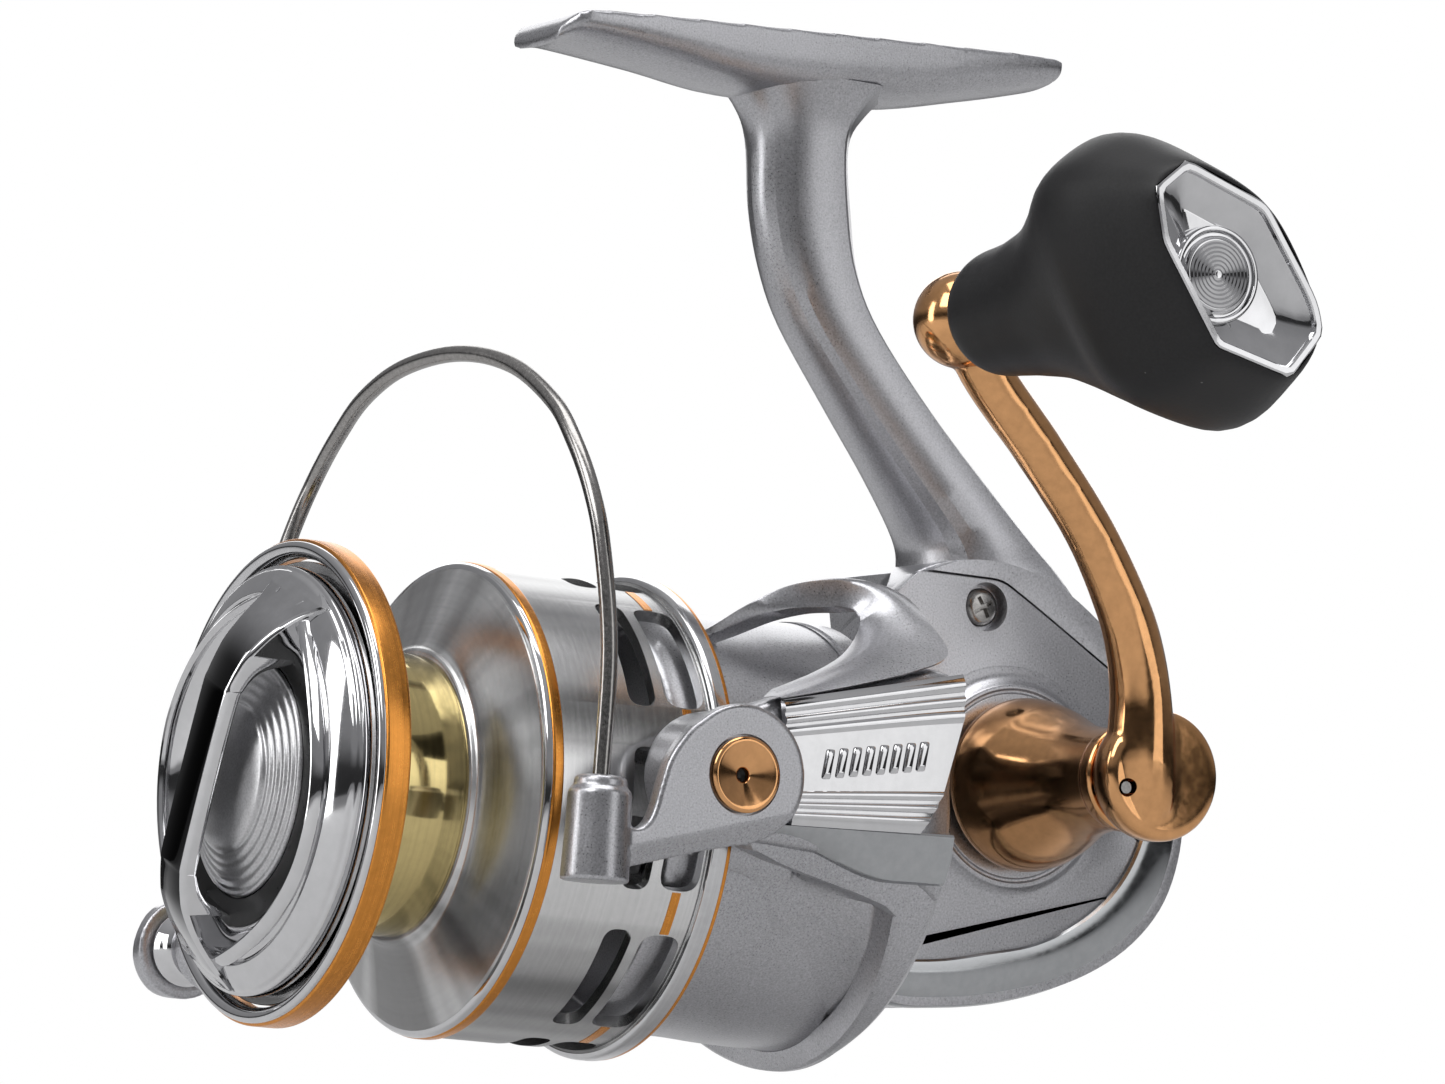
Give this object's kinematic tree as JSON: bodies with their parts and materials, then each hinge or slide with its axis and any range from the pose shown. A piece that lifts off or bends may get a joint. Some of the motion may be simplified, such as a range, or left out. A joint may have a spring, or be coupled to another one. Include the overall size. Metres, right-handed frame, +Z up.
{
  "type": "spinning reel",
  "caption": "Front-drag spinning reel with a folding bail, line roller, skirted spool on a sliding shaft, geared rotor, crank handle with a turning knob and a flat mounting foot.",
  "frame": {"origin": "centre of the flat seat on top of the foot, midway across and midway along", "axes": "+Z up out of the seat (3.5 degrees off its normal), +Y from the spool to the rear along the main shaft, +X to the handle side"},
  "size_m": [0.1184, 0.1071, 0.1059],
  "materials": {
    "silver_paint": "satin metallic silver-grey paint",
    "grey_gloss": "glossy dark grey",
    "steel": "machined",
    "dark_steel": "polished dark",
    "chrome": "mirror",
    "machined": "turned and brushed",
    "orange_anodised": "brushed orange-gold anodised",
    "gold": "polished pale gold anodised",
    "copper": "glossy copper anodised",
    "brass": "machined",
    "black_rubber": "soft matt",
    "black_plastic": "moulded",
    "felt": "pressed felt"
  },
  "bodies": {
    "body": {"body_housing": "silver_paint", "side_cover": "silver_paint", "body_guard": "grey_gloss", "cover_screw_top": "dark_steel", "cover_screw_front": "dark_steel", "cover_screw_rear": "dark_steel", "crank_bearing_right": "steel", "crank_bearing_left": "steel", "pinion_bearing": "steel", "pinion_bushing": "brass", "anti_reverse_clutch": "steel", "guide_rod": "steel", "left_cap": "copper"},
    "crank": {"drive_gear": "brass", "crank_shaft": "steel", "oscillation_drive_gear": "brass", "handle_shank": "copper", "handle_arm": "copper", "handle_pin": "dark_steel", "knob_post": "steel", "knob_screw": "steel"},
    "osc_gear": {"oscillation_gear": "brass"},
    "handle_knob": {"handle_knob": "black_rubber", "knob_cap": "chrome", "knob_button": "chrome", "knob_bearing_inner": "steel", "knob_bearing_outer": "steel"},
    "rotor": {"pinion_gear": "brass", "rotor": "silver_paint", "arm_cover_near": "chrome", "arm_cover_far": "chrome", "rotor_nut": "steel", "clutch_sleeve": "steel", "bail_spring": "steel", "bail_screw_near": "copper", "bail_screw_far": "copper"},
    "bail": {"bail_arm": "silver_paint", "roller_arm": "silver_paint", "roller_screw": "steel", "roller_bushing": "brass", "wire_cap": "silver_paint", "bail_wire": "dark_steel"},
    "line_roller": {"line_roller": "chrome"},
    "shaft": {"main_shaft": "steel", "oscillation_slider": "dark_steel", "slider_screw": "steel"},
    "spool": {"spool": "machined", "spool_lip": "orange_anodised", "arbor_band": "gold", "spool_bearing": "steel", "click_gear": "black_plastic", "drag_felt_rear": "felt", "drag_plate_steel": "steel", "drag_felt_front": "felt", "drag_pressure_plate": "steel"},
    "drag_knob": {"drag_knob": "chrome", "drag_knob_dome": "machined", "drag_nut": "brass", "drag_spring": "steel", "drag_seal": "black_rubber"}
  },
  "joints": [
    {"name": "crank_turn", "type": "hinge", "parent": "body", "child": "crank", "pos_m": [0, 0.024, -0.07363], "axis": [1, 0, 0], "continuous": true},
    {"name": "rotor_spin", "type": "hinge", "parent": "body", "child": "rotor", "pos_m": [0, -0.0033, -0.0803], "axis": [0, 1, 0], "continuous": true},
    {"name": "osc_gear_spin", "type": "hinge", "parent": "body", "child": "osc_gear", "pos_m": [0, 0.0341, -0.08056], "axis": [1, 0, 0], "continuous": true},
    {"name": "spool_oscillation", "type": "slide", "parent": "body", "child": "shaft", "axis": [0, 1, 0], "range_m": [0, 0.008]},
    {"name": "spool_turn", "type": "hinge", "parent": "shaft", "child": "spool", "pos_m": [0, -0.0388, -0.0803], "axis": [0, 1, 0], "continuous": true},
    {"name": "drag_knob_turn", "type": "hinge", "parent": "shaft", "child": "drag_knob", "pos_m": [0, -0.0533, -0.0803], "axis": [0, 1, 0], "range_deg": [-360, 360]},
    {"name": "bail_flip", "type": "hinge", "parent": "rotor", "child": "bail", "pos_m": [0, -0.0199, -0.0777], "axis": [1, 0, 0], "range_deg": [0, 100]},
    {"name": "line_roller_spin", "type": "hinge", "parent": "bail", "child": "line_roller", "pos_m": [-0.0273, -0.0458, -0.0953], "axis": [1, 0, 0], "continuous": true},
    {"name": "knob_spin", "type": "hinge", "parent": "crank", "child": "handle_knob", "pos_m": [0.06, -0.003, -0.0327], "axis": [1, 0, 0], "continuous": true}
  ],
  "couplings": [
    {"joint": "rotor_spin", "follows": "crank_turn", "ratio": 5.25},
    {"joint": "osc_gear_spin", "follows": "crank_turn", "ratio": -0.66667}
  ]
}
